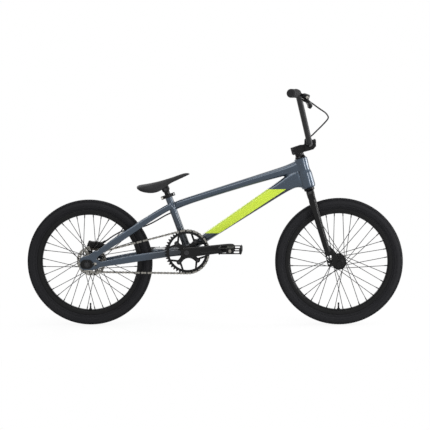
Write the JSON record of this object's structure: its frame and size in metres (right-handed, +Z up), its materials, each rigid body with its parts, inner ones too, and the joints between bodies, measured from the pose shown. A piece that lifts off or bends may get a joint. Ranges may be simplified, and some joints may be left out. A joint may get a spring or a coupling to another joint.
{
  "type": "bmx race bike",
  "caption": "BMX race bike with 20-inch wheels, straight fork, high-rise handlebar, small tilted saddle, chain drive and a rear disc brake.",
  "frame": {"origin": "centre of the bottom bracket, midway between its two sides", "axes": "+X to the front wheel, +Y to the brake side (the chain side faces -Y), +Z up"},
  "size_m": [1.4836, 0.7416, 0.9248],
  "materials": {
    "frame_paint": "satin metallic slate blue, with a flat lime yellow panel on the down tube",
    "black_alloy": "black anodised, satin",
    "carbon": "black carbon fibre under gloss lacquer",
    "steel": "bright plated",
    "dark_steel": "dark, satin",
    "tyre_rubber": "matte",
    "grip_rubber": "matte",
    "saddle_plastic": "fine matte grain",
    "hose_plastic": "smooth satin"
  },
  "bodies": {
    "frame": {"head_tube": "frame_paint", "top_tube": "frame_paint", "down_tube": "frame_paint", "seat_tube": "frame_paint", "bottom_bracket_shell": "frame_paint", "bottom_bracket_cup_left": "black_alloy", "bottom_bracket_cup_right": "black_alloy", "chainstay_left": "frame_paint", "chainstay_right": "frame_paint", "seatstay_left": "frame_paint", "seatstay_right": "frame_paint", "dropout_left": "frame_paint", "dropout_right": "frame_paint", "chain_tensioner_left": "black_alloy", "chain_tensioner_right": "black_alloy", "headset_bearing_lower": "steel", "headset_bearing_upper": "steel", "rear_axle": "steel", "axle_nut_left": "black_alloy", "axle_nut_right": "black_alloy", "brake_caliper": "black_alloy", "brake_hose_rear": "hose_plastic", "chain": "steel", "seat_clamp": "black_alloy", "seat_clamp_bolt": "steel"},
    "fork": {"fork_crown": "carbon", "fork_leg_left": "carbon", "fork_leg_right": "carbon", "headset_cover": "black_alloy", "headset_spacer": "black_alloy", "stem": "black_alloy", "stem_clamp_plate": "black_alloy", "steerer_cap": "black_alloy", "handlebar": "black_alloy", "grip_left": "grip_rubber", "grip_right": "grip_rubber", "brake_lever_body": "black_alloy", "front_axle": "black_alloy", "brake_hose_front": "hose_plastic"},
    "lever": {"brake_lever_blade": "black_alloy"},
    "front_wheel": {"tyre_front": "tyre_rubber", "rim_front": "black_alloy", "hub_front": "dark_steel"},
    "rear_wheel": {"tyre_rear": "tyre_rubber", "rim_rear": "black_alloy", "hub_rear": "dark_steel", "brake_rotor": "steel"},
    "cog_body": {"cog": "steel"},
    "crank": {"crank_arm_right": "black_alloy", "crank_arm_left": "black_alloy", "chainring": "black_alloy", "pedal_axle_right": "steel", "pedal_axle_left": "steel"},
    "pedal_right": {"pedal_body_right": "black_alloy"},
    "pedal_left": {"pedal_body_left": "black_alloy"},
    "pad_inner": {"brake_pad_inner": "dark_steel"},
    "pad_outer": {"brake_pad_outer": "dark_steel"},
    "post": {"seat_post": "black_alloy"},
    "seat": {"saddle": "saddle_plastic", "saddle_bolt": "steel"}
  },
  "joints": [
    {"name": "steering", "type": "hinge", "parent": "frame", "child": "fork", "pos_m": [0.4605, 0, 0.3032], "axis": [-0.2672, 0, 0.9636], "range_deg": [-85, 85], "deforming": ["brake_hose_front"]},
    {"name": "front_wheel_spin", "type": "hinge", "parent": "fork", "child": "front_wheel", "pos_m": [0.59208, 0, -0.04552], "axis": [0, 1, 0], "continuous": true},
    {"name": "rear_wheel_spin", "type": "hinge", "parent": "frame", "child": "rear_wheel", "pos_m": [-0.3919, 0, -0.0453], "axis": [0, 1, 0], "continuous": true},
    {"name": "crank_spin", "type": "hinge", "parent": "frame", "child": "crank", "pos_m": [0, 0, 0], "axis": [0, 1, 0], "continuous": true, "deforming": ["chain"]},
    {"name": "cog_spin", "type": "hinge", "parent": "frame", "child": "cog_body", "pos_m": [-0.3919, 0, -0.0453], "axis": [0, 1, 0], "continuous": true},
    {"name": "pedal_right_spin", "type": "hinge", "parent": "crank", "child": "pedal_right", "pos_m": [0.17398, 0, 0.0189], "axis": [0, 1, 0], "continuous": true},
    {"name": "pedal_left_spin", "type": "hinge", "parent": "crank", "child": "pedal_left", "pos_m": [-0.17398, 0, -0.0189], "axis": [0, 1, 0], "continuous": true},
    {"name": "brake_lever_pull", "type": "hinge", "parent": "fork", "child": "lever", "pos_m": [0.45893, -0.22503, 0.59096], "axis": [-0.5859, 0.0795, -0.8065], "range_deg": [0, 20], "stiffness_Nm_per_rad": 1.2, "springref_deg": -14.32},
    {"name": "brake_pad_inner_slide", "type": "slide", "parent": "frame", "child": "pad_inner", "axis": [0, 1, 0], "range_m": [0, 0.0003]},
    {"name": "brake_pad_outer_slide", "type": "slide", "parent": "frame", "child": "pad_outer", "axis": [0, -1, 0], "range_m": [0, 0.0003]},
    {"name": "seat_height", "type": "slide", "parent": "frame", "child": "post", "axis": [-0.3297, 0, 0.9441], "range_m": [-0.006, 0.065]},
    {"name": "saddle_tilt", "type": "hinge", "parent": "post", "child": "seat", "pos_m": [-0.08523, 0, 0.24405], "axis": [0, 1, 0], "range_deg": [-15, 15]}
  ],
  "couplings": [
    {"joint": "cog_spin", "follows": "crank_spin", "ratio": 2.625},
    {"joint": "brake_pad_inner_slide", "follows": "brake_lever_pull", "m_per_rad": 0.0008594},
    {"joint": "brake_pad_outer_slide", "follows": "brake_lever_pull", "m_per_rad": 0.0008594}
  ]
}
